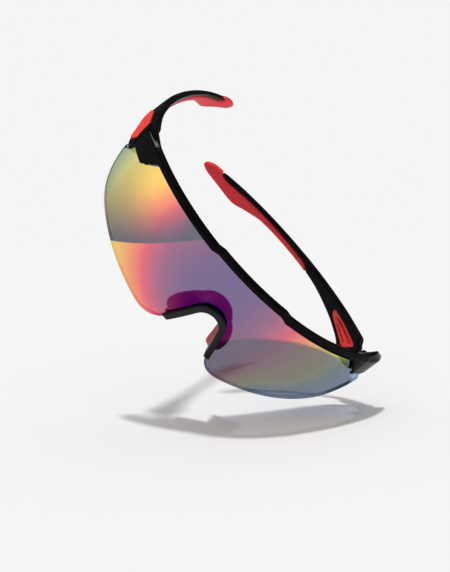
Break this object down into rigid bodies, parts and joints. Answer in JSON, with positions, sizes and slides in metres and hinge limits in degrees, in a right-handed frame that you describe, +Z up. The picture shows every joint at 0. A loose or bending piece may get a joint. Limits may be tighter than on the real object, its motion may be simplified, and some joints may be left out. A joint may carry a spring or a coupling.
{
  "type": "wrap-around shield glasses",
  "caption": "Half-rimmed wrap-around sports glasses: a one-piece mirrored shield lens under a glossy brow bar, soft nose saddle, folding temples with soft ear socks.",
  "frame": {"origin": "the crest of the nose saddle's underside, where the glasses rest on the nose, on the middle plane", "axes": "+X to the wearer's left, +Y back towards the ears, along the open temples, +Z up"},
  "size_m": [0.1459, 0.1562, 0.0523],
  "materials": {
    "mirror_lens": "polycarbonate with a rainbow mirror coating",
    "gloss_frame": "gloss",
    "satin_clip": "satin",
    "gloss_arm": "gloss",
    "red_insert": "semi-gloss",
    "soft_pad": "soft matte, slightly translucent",
    "soft_sock": "soft matte",
    "hinge_metal": "satin",
    "screw_metal": "satin"
  },
  "bodies": {
    "frame": {"shield_lens": "mirror_lens", "brow_frame": "gloss_frame", "nose_clip": "satin_clip", "nose_pad": "soft_pad", "right_hinge_screw": "screw_metal", "left_hinge_screw": "screw_metal"},
    "right_temple": {"right_temple_arm": "gloss_arm", "right_window_insert": "red_insert", "right_ear_sock": "soft_sock", "right_hinge_leaf": "hinge_metal"},
    "left_temple": {"left_temple_arm": "gloss_arm", "left_window_insert": "red_insert", "left_ear_sock": "soft_sock", "left_hinge_leaf": "hinge_metal"}
  },
  "joints": [
    {"name": "right_temple_fold", "type": "hinge", "parent": "frame", "child": "right_temple", "pos_m": [-0.0679, 0.0355, 0.0125], "axis": [0, 0, -1], "range_deg": [0, 36]},
    {"name": "left_temple_fold", "type": "hinge", "parent": "frame", "child": "left_temple", "pos_m": [0.0679, 0.0355, 0.0125], "axis": [0, 0, 1], "range_deg": [-54, 34]}
  ]
}
